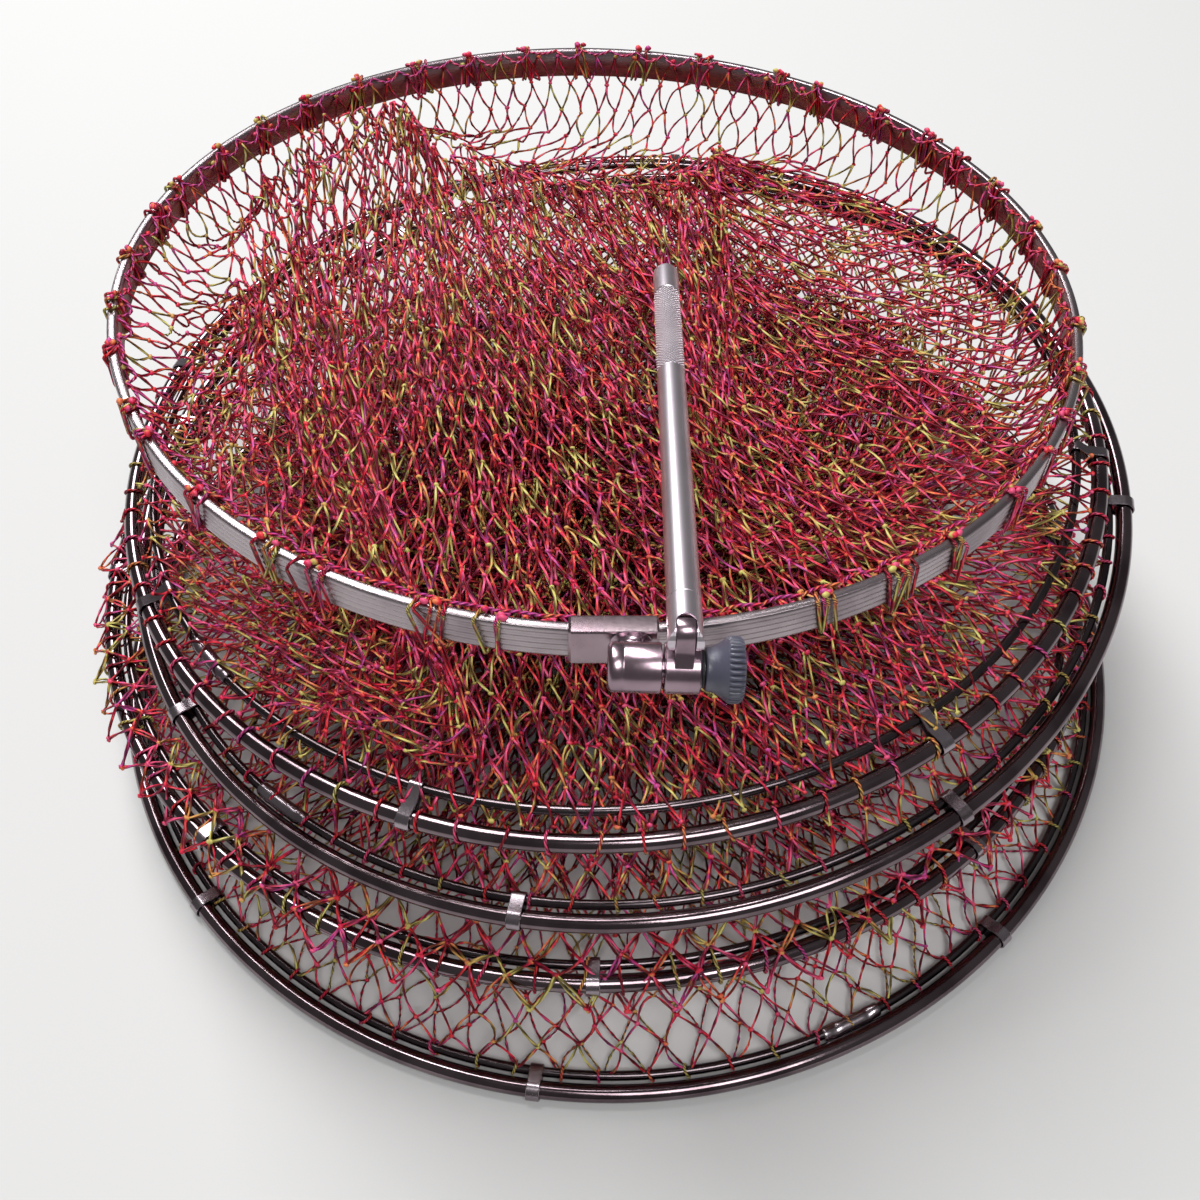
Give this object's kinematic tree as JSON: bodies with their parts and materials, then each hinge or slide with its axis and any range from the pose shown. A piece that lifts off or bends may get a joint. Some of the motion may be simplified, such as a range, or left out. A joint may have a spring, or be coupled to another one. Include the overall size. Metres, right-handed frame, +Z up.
{
  "type": "fishing keepnet",
  "caption": "Round collapsible fishing keepnet folded flat: strip mouth ring with clamp hinge and folding rod above paired wire rings, clips and a knotted net with a gathered bottom.",
  "frame": {"origin": "on the ground under the middle of the folded stack", "axes": "+Z up out of the mouth, hinge towards -Y, barrels along X"},
  "size_m": [0.4568, 0.4643, 0.2125],
  "materials": {
    "mouth_strip": "satin ribbed aluminium strip",
    "joining_sleeve": "bright pressed sheet",
    "hinge_steel": "polished plating",
    "ring_tube": "smooth dark plated tube",
    "ring_wire": "smooth dark plated wire",
    "clip_sheet": "bent sheet metal",
    "knob_plastic": "moulded, fine satin",
    "washer": "matt black",
    "netting": "knotted two-ply twine in changing colours"
  },
  "bodies": {
    "bottom": {"outer_ring_4": "ring_tube", "inner_wire_4": "ring_wire", "splice_sleeve_4": "clip_sheet", "ring_clip_4_1": "clip_sheet", "ring_clip_4_2": "clip_sheet", "ring_clip_4_3": "clip_sheet", "ring_clip_4_4": "clip_sheet", "ring_clip_4_5": "clip_sheet", "ring_clip_4_6": "clip_sheet", "ring_clip_4_7": "clip_sheet", "ring_clip_4_8": "clip_sheet", "bottom_net": "netting", "net_section_4": "netting"},
    "ring_3": {"outer_ring_3": "ring_tube", "inner_wire_3": "ring_wire", "splice_sleeve_3": "clip_sheet", "ring_clip_3_1": "clip_sheet", "ring_clip_3_2": "clip_sheet", "ring_clip_3_3": "clip_sheet", "ring_clip_3_4": "clip_sheet", "ring_clip_3_5": "clip_sheet", "ring_clip_3_6": "clip_sheet", "ring_clip_3_7": "clip_sheet", "ring_clip_3_8": "clip_sheet", "net_section_3": "netting"},
    "ring_2": {"outer_ring_2": "ring_tube", "inner_wire_2": "ring_wire", "splice_sleeve_2": "clip_sheet", "ring_clip_2_1": "clip_sheet", "ring_clip_2_2": "clip_sheet", "ring_clip_2_3": "clip_sheet", "ring_clip_2_4": "clip_sheet", "ring_clip_2_5": "clip_sheet", "ring_clip_2_6": "clip_sheet", "ring_clip_2_7": "clip_sheet", "ring_clip_2_8": "clip_sheet", "net_section_2": "netting"},
    "ring_1": {"outer_ring_1": "ring_tube", "inner_wire_1": "ring_wire", "splice_sleeve_1": "clip_sheet", "ring_clip_1_1": "clip_sheet", "ring_clip_1_2": "clip_sheet", "ring_clip_1_3": "clip_sheet", "ring_clip_1_4": "clip_sheet", "ring_clip_1_5": "clip_sheet", "ring_clip_1_6": "clip_sheet", "ring_clip_1_7": "clip_sheet", "ring_clip_1_8": "clip_sheet", "net_section_1": "netting"},
    "mouth": {"mouth_strip": "mouth_strip", "joining_sleeve": "joining_sleeve", "fixed_barrel": "hinge_steel"},
    "hinge": {"turning_barrel": "hinge_steel", "fork_pin": "hinge_steel"},
    "knob": {"clamp_knob": "knob_plastic", "hinge_bolt": "hinge_steel", "hinge_washer": "washer"},
    "rod": {"rod_fork": "hinge_steel", "rod_tube": "hinge_steel", "rod_tip": "hinge_steel"}
  },
  "joints": [
    {"name": "ring_3_lift", "type": "slide", "parent": "bottom", "child": "ring_3", "axis": [0, 0, 1], "range_m": [0, 0.25], "deforming": ["net_section_4"]},
    {"name": "ring_2_lift", "type": "slide", "parent": "ring_3", "child": "ring_2", "axis": [0, 0, 1], "range_m": [0, 0.25], "deforming": ["net_section_3"]},
    {"name": "ring_1_lift", "type": "slide", "parent": "ring_2", "child": "ring_1", "axis": [0, 0, 1], "range_m": [0, 0.25], "deforming": ["net_section_2"]},
    {"name": "mouth_lift", "type": "slide", "parent": "ring_1", "child": "mouth", "axis": [0, 0, 1], "range_m": [0, 0.3], "deforming": ["net_section_1"]},
    {"name": "barrel_hinge", "type": "hinge", "parent": "mouth", "child": "hinge", "pos_m": [0.00005, -0.17321, 0.19642], "axis": [0.9985, -0.029, -0.0475], "range_deg": [0, 150]},
    {"name": "rod_fold", "type": "hinge", "parent": "hinge", "child": "rod", "pos_m": [0.0188, -0.17065, 0.20802], "axis": [0.9985, -0.029, -0.0475], "range_deg": [0, 110]},
    {"name": "knob_turn", "type": "hinge", "parent": "mouth", "child": "knob", "pos_m": [0.00005, -0.17321, 0.19642], "axis": [0.9985, -0.029, -0.0475], "range_deg": [0, 360]}
  ]
}
